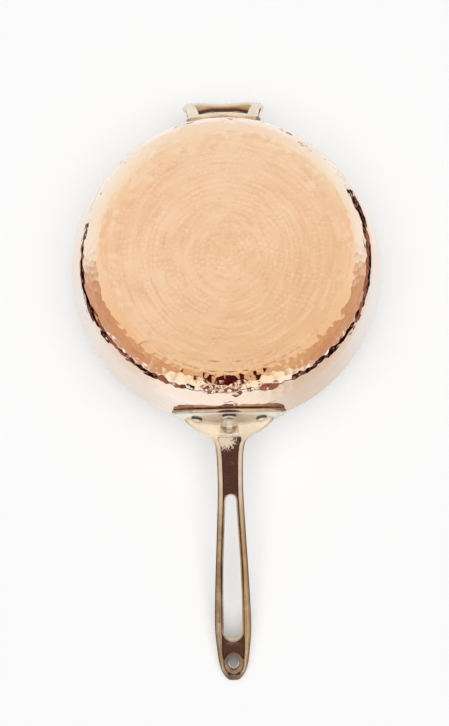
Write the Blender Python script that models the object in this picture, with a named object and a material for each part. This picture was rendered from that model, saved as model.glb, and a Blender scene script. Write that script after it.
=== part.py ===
"""Copper saucepan with a cast brass long handle and a cast brass helper handle.

Row frame: metres, +Z up, origin at the centre of the base's underside. The pan stands on z = 0,
the long handle points along -Y and the helper handle along +Y.
"""
import math

import bmesh
import bpy
from mathutils import Vector

# Driving dimensions, in metres and radians.
RIM_RADIUS = 0.140
PAN_HEIGHT = 0.070
WALL_FLARE = math.radians(15)
CORNER_RADIUS = 0.030
COPPER_THICKNESS = 0.0022
LINING_THICKNESS = 0.0005
RIM_ROUNDING = 0.0009
GAP = 0.0003                      # clearance between pieces that touch
EMBED = 0.0015                    # how deep a limb starts inside its own flange
ROUND_SEGMENTS = 80

# Long handle. Distances run outwards from the wall, along -Y.
HANDLE_ROOT_HEIGHT = 0.0595
HANDLE_PITCH = math.radians(13.3)
HANDLE_LEVEL_RUN = 0.030          # how slowly the handle turns from level to its pitch
HANDLE_LENGTH = 0.2345
NECK_DISTANCE = 0.018
HANDLE_HALF_WIDTHS = [(0.0, 0.0445), (0.006, 0.0385), (0.0105, 0.0290), (0.0135, 0.0205),
                      (0.0165, 0.0156), (0.0205, 0.0134), (0.028, 0.0120), (0.045, 0.0114),
                      (0.063, 0.0114), (0.098, 0.0130), (0.142, 0.0152), (0.179, 0.0165),
                      (0.1935, 0.0162), (0.2074, 0.0148), (0.2185, 0.0134), (0.227, 0.0108),
                      (0.2325, 0.0072), (0.2345, 0.0048)]
HANDLE_HALF_HEIGHTS = [(0.0, 0.0045), (0.018, 0.0056), (0.060, 0.0048), (0.150, 0.0040),
                       (0.218, 0.0038), (0.2345, 0.0029)]
HANDLE_EDGE_ROUNDING = 0.0032
CROWN_SHARE = 0.12                # how much lower the top's edges are than its middle
BORDER_WIDTH = 0.0042
CHANNEL_DEPTH = 0.0026
CHANNEL_DRAFT = 0.0010            # how far the channel's side leans in over its depth
CHANNEL_START = 0.0140
CHANNEL_END = 0.2300
CHANNEL_MAX_HALF_WIDTH = 0.0106
SLOT_START, SLOT_END = 0.0660, 0.1980
SLOT_HALF_WIDTHS = [(0.0660, 0.0044), (0.087, 0.0055), (0.124, 0.0074), (0.160, 0.0083),
                    (0.1980, 0.0084)]
HANGING_HOLE_CENTRE = 0.2176
HANGING_HOLE_HALF_WIDTH = 0.0050
HANGING_HOLE_HALF_LENGTH = 0.0070
BOSS_CENTRE, BOSS_HALF_WIDTH, BOSS_HALF_LENGTH = 0.2188, 0.0088, 0.0103
BOSS_SETBACK = 0.0012             # the boss stops this far short of the handle's two faces
KNUCKLE_HALF_WIDTH, KNUCKLE_DEPTH, KNUCKLE_LENGTH = 0.0088, 0.0140, 0.0128

# Flanges: crescent plates that follow the wall, deepest in the middle.
FLANGE_THICKNESS = 0.0042
FLANGE_CHAMFER = 0.0014
END_LIFT, END_DROP = 0.25, 0.45   # how much each end of a flange narrows from below and above
HANDLE_FLANGE_HALF_ANGLE = math.radians(21.5)
HANDLE_FLANGE_LOW, HANDLE_FLANGE_LOW_AT_ENDS = 0.0235, 0.0530
HANDLE_FLANGE_HIGH = 0.0660
HELPER_FLANGE_HALF_ANGLE = math.radians(13.5)
HELPER_FLANGE_LOW, HELPER_FLANGE_LOW_AT_ENDS = 0.0300, 0.0400
HELPER_FLANGE_HIGH = 0.0620

# Helper loop: where it leaves the flange, then half of its free centreline as (x, y, z).
HELPER_ROOT_ANGLE, HELPER_ROOT_HEIGHT = math.radians(10.8), 0.0494
HELPER_ROUTE = [(0.0264, 0.1375, 0.0488), (0.0274, 0.1407, 0.0501), (0.0286, 0.1432, 0.0530),
                (0.0301, 0.1466, 0.0607), (0.0313, 0.1502, 0.0700), (0.0312, 0.1533, 0.0777),
                (0.0284, 0.1553, 0.0821), (0.0230, 0.1560, 0.0837), (0.0160, 0.1559, 0.0840),
                (0.0080, 0.1554, 0.0839), (0.0, 0.1551, 0.0838)]
HELPER_ROOT_RADIUS = 0.0048
HELPER_BAR_RADIUS = 0.0043
HELPER_GRIP_RADIUS = 0.0040
HELPER_GRIP_SHARE = 0.35          # the middle share of the loop that narrows to the grip

# Rivets: name, angle round the pan, height on the wall, outer head radius.
FRONT, BACK = math.radians(-90), math.radians(90)
RIVETS = [("handle_rivet_left", FRONT - math.radians(12), 0.0488, 0.0046),
          ("handle_rivet_right", FRONT + math.radians(12), 0.0488, 0.0046),
          ("handle_rivet_centre", FRONT, 0.0335, 0.0062),
          ("helper_rivet_left", BACK + math.radians(5.2), 0.0430, 0.0045),
          ("helper_rivet_right", BACK - math.radians(5.2), 0.0430, 0.0045)]
RIVET_SHANK_RADIUS = 0.0025
RIVET_INNER_HEAD_RADIUS = 0.0055
RIVET_HEAD_HEIGHT = 0.0018
SEAT_SAG = 0.00015                # extra room under a flat head on a curved wall

COPPER = ("copper", (0.86, 0.50, 0.34), 0.22, 1.0)
TIN = ("tin", (0.72, 0.72, 0.70), 0.38, 1.0)
BRASS = ("brass", (0.70, 0.50, 0.28), 0.30, 1.0)


def make_material(name, colour, roughness, metallic):
    material = bpy.data.materials.get(name) or bpy.data.materials.new(name)
    material.use_nodes = True
    shader = material.node_tree.nodes["Principled BSDF"]
    shader.inputs["Base Color"].default_value = (*colour, 1.0)
    shader.inputs["Roughness"].default_value = roughness
    shader.inputs["Metallic"].default_value = metallic
    return material


def make_object(name, bm, material=None):
    """Close a bmesh into a named object with its faces turned outwards."""
    bmesh.ops.recalc_face_normals(bm, faces=bm.faces)
    mesh = bpy.data.meshes.new(name)
    bm.to_mesh(mesh)
    bm.free()
    mesh.shade_smooth()
    mesh.set_sharp_from_angle(angle=math.radians(35))
    obj = bpy.data.objects.new(name, mesh)
    bpy.context.scene.collection.objects.link(obj)
    if material:
        mesh.materials.append(make_material(*material))
    return obj


def make_tool(name, bm):
    """A cutter or a shape to join: used by Booleans and never rendered."""
    obj = make_object(name, bm)
    obj.hide_render = True
    obj.display_type = "WIRE"
    return obj


def add_boolean(obj, operation, tool):
    modifier = obj.modifiers.new(tool.name, "BOOLEAN")
    modifier.operation = operation
    modifier.object = tool
    modifier.solver = "EXACT"


def curve_value(points, x):
    """Smooth value at x of a cubic through (x, value) points, flat beyond the ends."""
    if x <= points[0][0]:
        return points[0][1]
    if x >= points[-1][0]:
        return points[-1][1]
    i = max(k for k in range(len(points) - 1) if points[k][0] <= x)

    def slope(k):
        a, b = max(k - 1, 0), min(k + 1, len(points) - 1)
        return (points[b][1] - points[a][1]) / (points[b][0] - points[a][0])

    (x0, y0), (x1, y1) = points[i], points[i + 1]
    h = x1 - x0
    t = (x - x0) / h
    return ((2 * t**3 - 3 * t**2 + 1) * y0 + (t**3 - 2 * t**2 + t) * h * slope(i)
            + (3 * t**2 - 2 * t**3) * y1 + (t**3 - t**2) * h * slope(i + 1))


def smoothstep(low, high, x):
    t = min(max((x - low) / (high - low), 0.0), 1.0)
    return t * t * (3 - 2 * t)


# ---------------------------------------------------------------- turned shells

def wall_radius(z, depth=0.0):
    """Radius of the wall at height z, a given depth inside the outer surface."""
    return RIM_RADIUS - (PAN_HEIGHT - z) * math.tan(WALL_FLARE) - depth / math.cos(WALL_FLARE)


def wall_point(angle, z, offset):
    """Point at an offset out from the wall's outer surface, along its normal."""
    out = Vector((math.cos(angle), math.sin(angle), 0))
    normal = out * math.cos(WALL_FLARE) - Vector((0, 0, math.sin(WALL_FLARE)))
    return out * wall_radius(z) + Vector((0, 0, z)) + normal * offset


def pan_profile(depth, top, corner_steps=6):
    """(radius, height) points from the axis to the top of the wall, at a depth in the metal."""
    tangent_z = CORNER_RADIUS * (1 - math.sin(WALL_FLARE))
    centre_r = wall_radius(tangent_z) - CORNER_RADIUS * math.cos(WALL_FLARE)
    radius = CORNER_RADIUS - depth
    points = [(0.0, depth), (centre_r * 0.5, depth)]
    for step in range(corner_steps + 1):
        angle = -math.pi / 2 + (math.pi / 2 - WALL_FLARE) * step / corner_steps
        points.append((centre_r + radius * math.cos(angle), CORNER_RADIUS + radius * math.sin(angle)))
    wall_foot = points[-1][1]
    for part in (0.5, 1.0):
        z = wall_foot + (top - wall_foot) * part
        points.append((wall_radius(z, depth), z))
    return points


def turned(profile, segments):
    """Spin a profile that starts and ends on the Z axis into a closed bmesh."""
    bm = bmesh.new()
    verts = [bm.verts.new((r, 0.0, z)) for r, z in profile]
    edges = [bm.edges.new(pair) for pair in zip(verts, verts[1:])]
    bmesh.ops.spin(bm, geom=verts + edges, axis=(0, 0, 1), cent=(0, 0, 0),
                   angle=2 * math.pi, steps=segments, use_merge=True)
    bmesh.ops.remove_doubles(bm, verts=bm.verts, dist=1e-6)
    return bm


def make_copper_body():
    outer = pan_profile(0.0, PAN_HEIGHT - RIM_ROUNDING)
    inner = pan_profile(COPPER_THICKNESS, PAN_HEIGHT - RIM_ROUNDING)
    middle, half = (outer[-1][0] + inner[-1][0]) / 2, (outer[-1][0] - inner[-1][0]) / 2
    crest = [(middle + half * math.cos(a), PAN_HEIGHT - RIM_ROUNDING * (1 - math.sin(a)))
             for a in (math.pi / 4, math.pi / 2, 3 * math.pi / 4)]
    return make_object("copper_body", turned(outer + crest + inner[::-1], ROUND_SEGMENTS), COPPER)


def make_tin_lining():
    depth = COPPER_THICKNESS + GAP
    top = PAN_HEIGHT - 2 * RIM_ROUNDING
    outer = pan_profile(depth, top)
    inner = pan_profile(depth + LINING_THICKNESS, top)
    return make_object("tin_lining", turned(outer + inner[::-1], ROUND_SEGMENTS), TIN)


# ---------------------------------------------------------------- flanges

def flange(centre_angle, half_angle, low, low_at_ends, high, columns, rows=8):
    """Crescent plate on the wall: its lower edge rises from the middle to both ends."""
    bm = bmesh.new()
    edge_rows = (0, rows)
    outer, inner = [], []
    for i in range(columns + 1):
        u = -1 + 2 * i / columns
        angle = centre_angle + u * half_angle
        z_low = low + (low_at_ends - low) * u * u
        z_high = high - (high - low_at_ends) * END_DROP * abs(u) ** 7
        z_low += (high - low_at_ends) * END_LIFT * abs(u) ** 9
        outer_row, inner_row = [], []
        for j in range(rows + 1):
            z = z_low + (z_high - z_low) * (0.5 - 0.5 * math.cos(math.pi * j / rows))
            chamfer = FLANGE_CHAMFER if j in edge_rows or i in (0, columns) else 0.0
            inner_row.append(bm.verts.new(wall_point(angle, z, GAP)))
            outer_row.append(bm.verts.new(wall_point(angle, z, GAP + FLANGE_THICKNESS - chamfer)))
        outer.append(outer_row)
        inner.append(inner_row)
    for grid in (outer, inner):
        for a, b in zip(grid, grid[1:]):
            for j in range(rows):
                bm.faces.new((a[j], b[j], b[j + 1], a[j + 1]))
    for j in edge_rows:
        for i in range(columns):
            bm.faces.new((outer[i][j], outer[i + 1][j], inner[i + 1][j], inner[i][j]))
    for i in (0, columns):
        for j in range(rows):
            bm.faces.new((outer[i][j], outer[i][j + 1], inner[i][j + 1], inner[i][j]))
    return bm


# ---------------------------------------------------------------- long handle

def handle_height(distance):
    """Height of the handle's centreline: level at the wall, then at its pitch."""
    run = HANDLE_LEVEL_RUN
    return HANDLE_ROOT_HEIGHT + math.tan(HANDLE_PITCH) * (distance - run * (1 - math.exp(-distance / run)))


def handle_point(x, height, distance):
    """Point of the handle: x across, height above the centreline, distance from the wall."""
    near_wall = 1 - smoothstep(0.0, NECK_DISTANCE, distance)
    lean = HANDLE_PITCH * (1 - near_wall) - WALL_FLARE * near_wall
    root_radius = wall_radius(HANDLE_ROOT_HEIGHT)
    bow = (root_radius - math.sqrt(root_radius**2 - min(abs(x), 0.06) ** 2)) * near_wall
    y = -(root_radius + distance) + bow + height * math.sin(lean)
    return Vector((x, y, handle_height(distance) + height * math.cos(lean)))


def loft(sections):
    """Closed bmesh through rings whose points run along one side and back along the other."""
    bm = bmesh.new()
    rings = [[bm.verts.new(point) for point in section] for section in sections]
    count = len(rings[0])
    for a, b in zip(rings, rings[1:]):
        for k in range(count):
            n = (k + 1) % count
            bm.faces.new((a[k], a[n], b[n], b[k]))
    for ring in (rings[0], rings[-1]):
        for k in range(count // 2 - 1):
            bm.faces.new((ring[k], ring[k + 1], ring[count - 2 - k], ring[count - 1 - k]))
    return bm


def handle_section(distance):
    """Ring of the beam at a distance: crowned top, rounded edges, recessed underside."""
    half_width = curve_value(HANDLE_HALF_WIDTHS, distance)
    half_height = curve_value(HANDLE_HALF_HEIGHTS, distance)
    near_wall = 1 - smoothstep(0.0, NECK_DISTANCE, distance)
    crown = CROWN_SHARE * half_height
    rounding = HANDLE_EDGE_ROUNDING + (half_height - HANDLE_EDGE_ROUNDING) * near_wall
    rounding = min(rounding, half_height - crown - 0.0003, half_width * 0.7)
    floor = max(half_width - max(BORDER_WIDTH, rounding + 0.0006), 0.15 * half_width)
    floor = min(floor, CHANNEL_MAX_HALF_WIDTH)
    floor_foot = max(floor - CHANNEL_DRAFT, 0.5 * floor)
    depth = CHANNEL_DEPTH * smoothstep(CHANNEL_START - 0.001, CHANNEL_START + 0.001, distance)
    depth *= 1 - smoothstep(CHANNEL_END - 0.001, CHANNEL_END + 0.001, distance)
    corner = [(half_width - rounding * (1 - math.cos(a)), rounding * (1 - math.sin(a)))
              for a in (math.pi / 2, math.pi / 3, math.pi / 6, 0.0)]
    top = [(0.0, half_height), (floor_foot, half_height - 0.6 * crown), (floor, half_height - 0.7 * crown)]
    top += [(x, half_height - crown - drop) for x, drop in corner]
    bottom = [(0.0, depth - half_height), (floor_foot, depth - half_height), (floor, -half_height)]
    bottom += [(x, rise - half_height) for x, rise in corner]
    top = [(-x, h) for x, h in top[:0:-1]] + top
    bottom = [(-x, h) for x, h in bottom[:0:-1]] + bottom
    return [handle_point(x, h, distance) for x, h in top + bottom[::-1]]


def slot_half_width(distance):
    """Half width of the long slot, with round ends."""
    width = curve_value(SLOT_HALF_WIDTHS, distance)
    for end, centre in ((SLOT_START, SLOT_START + SLOT_HALF_WIDTHS[0][1]),
                        (SLOT_END, SLOT_END - SLOT_HALF_WIDTHS[-1][1])):
        radius = abs(centre - end)
        if abs(distance - end) < radius:
            width = min(width, math.sqrt(max(radius**2 - (distance - centre) ** 2, 0.0)))
    return max(width, 0.0003)


def prism(stations, half_width, half_height):
    """Solid along the handle whose half width is a function of distance."""
    return loft([[handle_point(sx * half_width(d), sh * half_height, d)
                  for sx, sh in ((1, 1), (1, -1), (-1, -1), (-1, 1))] for d in stations])


def eased(low, high, steps):
    """Stations from low to high, packed towards both ends."""
    return [low + (high - low) * (0.5 - 0.5 * math.cos(math.pi * k / steps)) for k in range(steps + 1)]


def oval(centre, half_length, half_width):
    return lambda d: max(half_width * math.sqrt(max(1 - ((d - centre) / half_length) ** 2, 0)), 0.0002)


def knuckle_section(distance):
    """Ring of the rounded rib that braces the neck against the flange from below."""
    share = math.sqrt(max(1 - (distance / KNUCKLE_LENGTH) ** 2, 0.001))
    across = [-math.cos(math.pi * k / 8) for k in range(9)]
    top = [(a * KNUCKLE_HALF_WIDTH * share, 0.001) for a in across]
    bottom = [(a * KNUCKLE_HALF_WIDTH * share,
               -0.001 - (KNUCKLE_DEPTH - 0.001) * share * math.sqrt(1 - a * a)) for a in across]
    return [handle_point(x, h, distance) for x, h in top + bottom[::-1]]


def make_long_handle():
    plate = flange(FRONT, HANDLE_FLANGE_HALF_ANGLE, HANDLE_FLANGE_LOW,
                   HANDLE_FLANGE_LOW_AT_ENDS, HANDLE_FLANGE_HIGH, columns=22)
    handle = make_object("long_handle", plate, BRASS)

    root = GAP + EMBED
    stations = [root, 0.004, 0.0065, 0.009, 0.011, 0.0129, 0.0137, 0.0143, 0.0151, 0.0175, 0.0195]
    stations += [0.022 + 0.0065 * k for k in range(31)]
    stations += [0.2205, 0.2235, 0.2262, 0.2284, 0.2296, 0.2304, 0.2314, 0.2330, HANDLE_LENGTH]
    beam = make_tool("handle_beam", loft([handle_section(d) for d in stations]))
    add_boolean(handle, "UNION", beam)
    knuckle_stations = [root + (KNUCKLE_LENGTH - root) * math.sin(math.pi / 2 * k / 7) for k in range(8)]
    knuckle = make_tool("neck_knuckle", loft([knuckle_section(d) for d in knuckle_stations]))
    add_boolean(handle, "UNION", knuckle)

    slot = make_tool("handle_slot", prism(eased(SLOT_START, SLOT_END, 28), slot_half_width, 0.02))
    add_boolean(handle, "DIFFERENCE", slot)

    boss_shape = oval(BOSS_CENTRE, BOSS_HALF_LENGTH, BOSS_HALF_WIDTH)
    boss_stations = eased(BOSS_CENTRE - BOSS_HALF_LENGTH, BOSS_CENTRE + BOSS_HALF_LENGTH, 14)
    boss_half = curve_value(HANDLE_HALF_HEIGHTS, BOSS_CENTRE) - BOSS_SETBACK
    boss = make_tool("hanging_boss", prism(boss_stations, boss_shape, boss_half))
    add_boolean(handle, "UNION", boss)

    hole_shape = oval(HANGING_HOLE_CENTRE, HANGING_HOLE_HALF_LENGTH, HANGING_HOLE_HALF_WIDTH)
    hole_stations = eased(HANGING_HOLE_CENTRE - HANGING_HOLE_HALF_LENGTH,
                          HANGING_HOLE_CENTRE + HANGING_HOLE_HALF_LENGTH, 14)
    hole = make_tool("hanging_hole", prism(hole_stations, hole_shape, 0.02))
    add_boolean(handle, "DIFFERENCE", hole)
    return handle


# ---------------------------------------------------------------- helper handle

def spline_points(points, steps):
    """Catmull-Rom points along a list of vectors."""
    points = [Vector(p) for p in points]
    padded = [points[0] * 2 - points[1]] + points + [points[-1] * 2 - points[-2]]
    result = []
    for i in range(1, len(padded) - 2):
        p0, p1, p2, p3 = padded[i - 1:i + 3]
        for k in range(steps):
            t = k / steps
            result.append(0.5 * (2 * p1 + (p2 - p0) * t + (2 * p0 - 5 * p1 + 4 * p2 - p3) * t**2
                                 + (3 * p1 - p0 - 3 * p2 + p3) * t**3))
    return result + [points[-1]]


def helper_loop(steps=2, sides=12):
    """Round bar along the helper route, mirrored at X = 0, thinner in the middle of the grip."""
    root = wall_point(BACK - HELPER_ROOT_ANGLE, HELPER_ROOT_HEIGHT, GAP + EMBED)
    half = spline_points([root] + HELPER_ROUTE, steps)
    route = half + [Vector((-p.x, p.y, p.z)) for p in half[-2::-1]]
    across = Vector((1, 0, 0))
    sections = []
    for i, point in enumerate(route):
        along = (route[min(i + 1, len(route) - 1)] - route[max(i - 1, 0)]).normalized()
        across = (across - along * across.dot(along)).normalized()
        up = along.cross(across)
        share = abs(2 * i / (len(route) - 1) - 1)
        radius = HELPER_BAR_RADIUS + (HELPER_ROOT_RADIUS - HELPER_BAR_RADIUS) * share**3
        waist = 1 - smoothstep(0.0, HELPER_GRIP_SHARE, share)
        radius -= (HELPER_BAR_RADIUS - HELPER_GRIP_RADIUS) * waist
        sections.append([point + (across * math.cos(a) + up * math.sin(a)) * radius
                         for a in (2 * math.pi * k / sides for k in range(sides))])
    return loft(sections)


def make_helper_handle():
    plate = flange(BACK, HELPER_FLANGE_HALF_ANGLE, HELPER_FLANGE_LOW,
                   HELPER_FLANGE_LOW_AT_ENDS, HELPER_FLANGE_HIGH, columns=16)
    handle = make_object("helper_handle", plate, BRASS)
    add_boolean(handle, "UNION", make_tool("helper_loop", helper_loop()))
    return handle


# ---------------------------------------------------------------- rivets

def along_wall_normal(obj, angle, z):
    """Stand an object made along +Z on the wall's outer surface, +Z pointing outwards."""
    base = wall_point(angle, z, 0.0)
    outward = wall_point(angle, z, 1.0) - base
    obj.location = base
    obj.rotation_mode = "QUATERNION"
    obj.rotation_quaternion = outward.to_track_quat("Z", "Y")


def rivet_profile(head_radius):
    """Shank through wall and flange with a low dome at each end, from inside to outside."""
    inside = -(COPPER_THICKNESS + LINING_THICKNESS + 2 * GAP + SEAT_SAG)
    outside = 2 * GAP + FLANGE_THICKNESS + SEAT_SAG
    angles = [math.pi / 2 * k / 3 for k in range(4)]
    inner = [(RIVET_INNER_HEAD_RADIUS * math.sin(a), inside - 0.0004 - RIVET_HEAD_HEIGHT * math.cos(a))
             for a in angles]
    outer = [(head_radius * math.cos(a), outside + 0.0004 + RIVET_HEAD_HEIGHT * math.sin(a))
             for a in angles]
    return ([(0.0, inner[0][1])] + inner[1:] + [(RIVET_INNER_HEAD_RADIUS, inside)]
            + [(RIVET_SHANK_RADIUS, inside), (RIVET_SHANK_RADIUS, outside)]
            + [(head_radius, outside)] + outer[:-1] + [(0.0, outer[-1][1])])


def make_rivets():
    for name, angle, z, head_radius in RIVETS:
        rivet = make_object(name, turned(rivet_profile(head_radius), 16), BRASS)
        along_wall_normal(rivet, angle, z)


def cut_rivet_holes(pan_layers, handles):
    """Clearance holes through the pan's layers and through the handle that each rivet holds."""
    for name, angle, z, _ in RIVETS:
        bm = bmesh.new()
        radius = RIVET_SHANK_RADIUS + GAP
        bmesh.ops.create_cone(bm, cap_ends=True, segments=12, radius1=radius, radius2=radius,
                              depth=0.04)
        cutter = make_tool(name + "_hole", bm)
        along_wall_normal(cutter, angle, z)
        for obj in pan_layers + [handles[name.split("_")[0]]]:
            add_boolean(obj, "DIFFERENCE", cutter)


def main():
    for obj in list(bpy.data.objects):
        bpy.data.objects.remove(obj)
    pan_layers = [make_copper_body(), make_tin_lining()]
    handles = {"handle": make_long_handle(), "helper": make_helper_handle()}
    make_rivets()
    cut_rivet_holes(pan_layers, handles)


main()
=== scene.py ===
"""Looks for the hammered copper pan: polished copper outside, wiped tin inside, cast brass handles.

Everything is in metres in the CAD's frame: the pan stands on z = 0 with its long handle along -Y.
The camera is below the pan and looks up at its base, so the floor under the pan can be seen only
from above, and the sheet behind the pan only from below.
"""
import math

import bmesh
import bpy
import numpy as np
from mathutils import Matrix, Vector


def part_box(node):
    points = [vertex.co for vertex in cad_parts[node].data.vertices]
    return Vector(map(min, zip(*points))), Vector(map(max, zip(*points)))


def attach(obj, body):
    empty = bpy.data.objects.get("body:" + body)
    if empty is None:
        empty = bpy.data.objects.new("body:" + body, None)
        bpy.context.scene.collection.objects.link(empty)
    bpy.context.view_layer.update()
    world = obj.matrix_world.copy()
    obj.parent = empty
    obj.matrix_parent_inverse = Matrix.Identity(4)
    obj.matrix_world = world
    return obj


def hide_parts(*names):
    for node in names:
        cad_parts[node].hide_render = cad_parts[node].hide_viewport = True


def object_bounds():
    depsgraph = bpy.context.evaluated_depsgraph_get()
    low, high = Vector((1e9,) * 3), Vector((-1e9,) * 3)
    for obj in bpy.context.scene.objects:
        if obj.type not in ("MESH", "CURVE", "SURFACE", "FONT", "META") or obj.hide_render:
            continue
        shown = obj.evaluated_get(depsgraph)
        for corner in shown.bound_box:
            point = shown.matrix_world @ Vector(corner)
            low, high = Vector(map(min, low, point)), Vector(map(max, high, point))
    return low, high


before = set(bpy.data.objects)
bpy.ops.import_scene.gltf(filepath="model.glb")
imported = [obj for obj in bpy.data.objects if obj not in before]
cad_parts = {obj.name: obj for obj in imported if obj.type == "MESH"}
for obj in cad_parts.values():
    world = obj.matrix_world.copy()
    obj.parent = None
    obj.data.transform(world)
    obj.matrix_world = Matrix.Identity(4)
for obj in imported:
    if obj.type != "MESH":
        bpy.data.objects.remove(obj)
cad_low, cad_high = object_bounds()
BODY = "root"

# What the frame gives.
pan_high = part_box("copper_body")[1]
PAN_HEIGHT = pan_high.z

# Sizes of the pan that the frame's boxes don't give: the design's own values.
WALL_FLARE = math.radians(15)
CORNER_RADIUS = 0.030
COPPER_THICKNESS = 0.0022
LINING_THICKNESS = 0.0005
LINING_GAP = 0.0003
RIM_ROUNDING = 0.0009
RIM_RADIUS = pan_high.x + RIM_ROUNDING * math.tan(WALL_FLARE)

# Long handle, measured outwards from the wall along -Y.
HANDLE_ROOT_HEIGHT = 0.0595
HANDLE_PITCH = math.radians(13.3)
HANDLE_LEVEL_RUN = 0.030
SLOT_START, SLOT_END = 0.0660, 0.1980
SLOT_HALF_WIDTHS = ((0.0660, 0.087, 0.124, 0.160, 0.1980), (0.0044, 0.0055, 0.0074, 0.0083, 0.0084))
HANDLE_HALF_HEIGHTS = ((0.0, 0.018, 0.060, 0.150, 0.218, 0.2345),
                       (0.0045, 0.0056, 0.0048, 0.0040, 0.0038, 0.0029))

rng = np.random.default_rng(7)


# ---------------------------------------------------------------- mesh helpers

def new_piece(name, verts, faces, material, cad_node, sharp_angle=40):
    mesh = bpy.data.meshes.new(name)
    mesh.from_pydata([tuple(v) for v in verts], [], [tuple(f) for f in faces])
    mesh.validate()
    mesh.update()
    mesh.shade_smooth()
    mesh.set_sharp_from_angle(angle=math.radians(sharp_angle))
    mesh.materials.append(material)
    obj = bpy.data.objects.new(name, mesh)
    bpy.context.scene.collection.objects.link(obj)
    settle(obj, cad_node)
    return obj


def settle(obj, cad_node):
    """The piece rides on the pan and stands in for its CAD node, which is hidden."""
    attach(obj, BODY)
    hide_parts(cad_node)


def revolved(profile, segments, offset=None):
    """Vertices and faces of a profile spun about Z. Its first and last points are on the axis."""
    profile = np.asarray(profile, float)
    inner = profile[1:-1]
    angles = np.arange(segments) * 2 * math.pi / segments
    r = np.repeat(inner[:, 0], segments)
    z = np.repeat(inner[:, 1], segments)
    a = np.tile(angles, len(inner))
    verts = np.stack([r * np.cos(a), r * np.sin(a), z], axis=1)
    if offset is not None:
        verts += offset(r, z, a)
    first, last = len(verts), len(verts) + 1
    verts = np.vstack([verts, (0, 0, profile[0, 1]), (0, 0, profile[-1, 1])])
    faces = []
    for row in range(len(inner) - 1):
        a0, b0 = row * segments, (row + 1) * segments
        k = np.arange(segments)
        n = (k + 1) % segments
        faces.extend(np.stack([a0 + k, a0 + n, b0 + n, b0 + k], axis=1).tolist())
    top = (len(inner) - 1) * segments
    for k in range(segments):
        n = (k + 1) % segments
        faces.append((first, n, k))
        faces.append((last, top + k, top + n))
    return verts, faces


# ---------------------------------------------------------------- pan profile

def wall_radius(z, depth=0.0):
    return RIM_RADIUS - (PAN_HEIGHT - z) * math.tan(WALL_FLARE) - depth / math.cos(WALL_FLARE)


TANGENT_Z = CORNER_RADIUS * (1 - math.sin(WALL_FLARE))
CORNER_CENTRE_R = wall_radius(TANGENT_Z) - CORNER_RADIUS * math.cos(WALL_FLARE)
CORNER_SWEEP = math.pi / 2 - WALL_FLARE
CORNER_END = CORNER_CENTRE_R + CORNER_RADIUS * CORNER_SWEEP


def pan_profile(depth, top, base_step, corner_step, wall_step):
    """(radius, height) points from the axis to the top of the wall, at a depth under the outside."""
    radius = CORNER_RADIUS - depth
    points = [(r, depth) for r in np.linspace(0, CORNER_CENTRE_R, round(CORNER_CENTRE_R / base_step) + 1)]
    steps = round(CORNER_RADIUS * CORNER_SWEEP / corner_step)
    for angle in np.linspace(0, CORNER_SWEEP, steps + 1)[1:]:
        out, down = radius * math.sin(angle), radius * math.cos(angle)
        points.append((CORNER_CENTRE_R + out, CORNER_RADIUS - down))
    foot = points[-1][1]
    steps = round((top - foot) / wall_step)
    points += [(wall_radius(z, depth), z) for z in np.linspace(foot, top, steps + 1)[1:]]
    return points


# ---------------------------------------------------------------- hammer marks

MARK_PITCH = 0.0043               # from one ring of marks to the next
MARK_WIDTH = 0.0046               # from one mark to the next round a ring
MARK_DISH_RADIUS = 0.110          # how round the bottom of each mark is
MARK_REACH = 0.8 * MARK_PITCH     # how far from its middle a mark comes back up to the plain pan
MARK_JITTER = 0.24                # how far a mark strays, as a share of the pitch
BASE_JITTER_SHARE = 0.60          # the rings on the base are more regular
MARK_TILT = 0.065                 # largest slope of a mark's bottom
BASE_TILT_SHARE = 0.10            # on the base every mark lies nearly level
MARK_DEPTH_SPREAD = 0.00003       # the deepest mark lies this much under the shallowest
BASE_MARK_SHARE = 0.60            # the base is struck more lightly than the corner
BASE_FADE = 0.012                 # width of the base's edge over which its marks deepen
WALL_MARK_SHARE = 0.35            # the wall is struck more lightly too
WALL_FADE = 0.006                 # width over which its marks grow shallow
RIDGE_WIDTH = 0.000012            # difference of depth over which a ridge shows
SPOKE_SHARE = 0.45                # how much a ridge inside a ring shows, beside one between rings
LEAST_RADIUS = 0.002              # rings and marks don't shrink below this at the axis


def ring_radius(s):
    """Distance from the axis, s being the way along the pan's outside from its middle."""
    bend = np.clip((s - CORNER_CENTRE_R) / CORNER_RADIUS, 0, CORNER_SWEEP)
    up = np.maximum(s - CORNER_END, 0)
    return np.minimum(s, CORNER_CENTRE_R) + CORNER_RADIUS * np.sin(bend) + up * math.sin(WALL_FLARE)


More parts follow.
